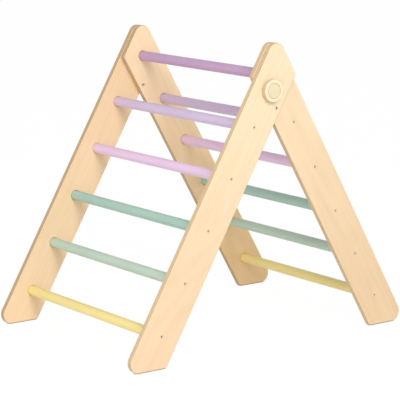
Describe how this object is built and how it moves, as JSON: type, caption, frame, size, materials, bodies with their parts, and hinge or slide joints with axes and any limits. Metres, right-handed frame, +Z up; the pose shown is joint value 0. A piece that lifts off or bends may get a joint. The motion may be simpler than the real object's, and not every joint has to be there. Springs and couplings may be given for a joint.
{
  "type": "folding climbing triangle",
  "caption": "Wooden climbing triangle for toddlers: plywood ladders with pastel rungs, pivoted near the top, locked open by wooden side knobs, folding flat.",
  "frame": {"origin": "on the floor, midway between the feet and midway between the two sides", "axes": "+Z up; +Y along the rungs to the far side; +X from the outer ladder's feet to the inner ladder's feet"},
  "size_m": [1.0054, 0.7352, 0.8808],
  "materials": {
    "birch_plywood": "clear satin lacquer",
    "birch_knob": "clear satin lacquer",
    "paint_purple": "satin water-based stain",
    "paint_lavender": "satin water-based stain",
    "paint_pink": "satin water-based stain",
    "paint_teal": "satin water-based stain",
    "paint_green": "satin water-based stain",
    "paint_yellow": "satin water-based stain",
    "zinc_plated_steel": "yellow zinc plate",
    "brass": "plain"
  },
  "bodies": {
    "outer_ladder": {"outer_rail_near": "birch_plywood", "outer_rail_far": "birch_plywood", "outer_rung_1": "paint_lavender", "outer_rung_2": "paint_pink", "outer_rung_3": "paint_teal", "outer_rung_4": "paint_green", "outer_rung_5": "paint_yellow", "outer_screw_near_1": "zinc_plated_steel", "outer_screw_near_2": "zinc_plated_steel", "outer_screw_near_3": "zinc_plated_steel", "outer_screw_near_4": "zinc_plated_steel", "outer_screw_near_5": "zinc_plated_steel", "pivot_sleeve_near": "zinc_plated_steel", "pivot_screw_near": "zinc_plated_steel", "pivot_washer_near": "zinc_plated_steel", "outer_screw_far_1": "zinc_plated_steel", "outer_screw_far_2": "zinc_plated_steel", "outer_screw_far_3": "zinc_plated_steel", "outer_screw_far_4": "zinc_plated_steel", "outer_screw_far_5": "zinc_plated_steel", "pivot_sleeve_far": "zinc_plated_steel", "pivot_screw_far": "zinc_plated_steel", "pivot_washer_far": "zinc_plated_steel"},
    "inner_ladder": {"inner_rail_near": "birch_plywood", "inner_rail_far": "birch_plywood", "inner_rung_1": "paint_purple", "inner_rung_2": "paint_lavender", "inner_rung_3": "paint_pink", "inner_rung_4": "paint_teal", "inner_rung_5": "paint_green", "inner_rung_6": "paint_yellow", "inner_screw_near_1": "zinc_plated_steel", "inner_screw_near_2": "zinc_plated_steel", "inner_screw_near_3": "zinc_plated_steel", "inner_screw_near_4": "zinc_plated_steel", "inner_screw_near_5": "zinc_plated_steel", "inner_screw_near_6": "zinc_plated_steel", "lock_insert_near": "brass", "inner_screw_far_1": "zinc_plated_steel", "inner_screw_far_2": "zinc_plated_steel", "inner_screw_far_3": "zinc_plated_steel", "inner_screw_far_4": "zinc_plated_steel", "inner_screw_far_5": "zinc_plated_steel", "inner_screw_far_6": "zinc_plated_steel", "lock_insert_far": "brass"},
    "near_lock_washer": {"lock_washer_near": "zinc_plated_steel"},
    "near_lock_knob": {"lock_knob_near": "birch_knob", "lock_stud_near": "zinc_plated_steel"},
    "far_lock_washer": {"lock_washer_far": "zinc_plated_steel"},
    "far_lock_knob": {"lock_knob_far": "birch_knob", "lock_stud_far": "zinc_plated_steel"}
  },
  "joints": [
    {"name": "fold", "type": "hinge", "parent": "outer_ladder", "child": "inner_ladder", "pos_m": [0, 0, 0.69682], "axis": [0, 1, 0], "range_deg": [0, 60]},
    {"name": "near_lock_travel", "type": "slide", "parent": "outer_ladder", "child": "near_lock_washer", "axis": [0, -1, 0], "range_m": [0, 0.0125]},
    {"name": "near_lock_turn", "type": "hinge", "parent": "near_lock_washer", "child": "near_lock_knob", "pos_m": [-0.022, -0.3516, 0.74872], "axis": [0, -1, 0], "range_deg": [0, 3600]},
    {"name": "far_lock_travel", "type": "slide", "parent": "outer_ladder", "child": "far_lock_washer", "axis": [0, 1, 0], "range_m": [0, 0.0125]},
    {"name": "far_lock_turn", "type": "hinge", "parent": "far_lock_washer", "child": "far_lock_knob", "pos_m": [-0.022, 0.3516, 0.74872], "axis": [0, 1, 0], "range_deg": [0, 3600]}
  ],
  "couplings": [
    {"joint": "near_lock_turn", "follows": "near_lock_travel", "rad_per_m": 5026.5},
    {"joint": "far_lock_turn", "follows": "far_lock_travel", "rad_per_m": 5026.5}
  ]
}
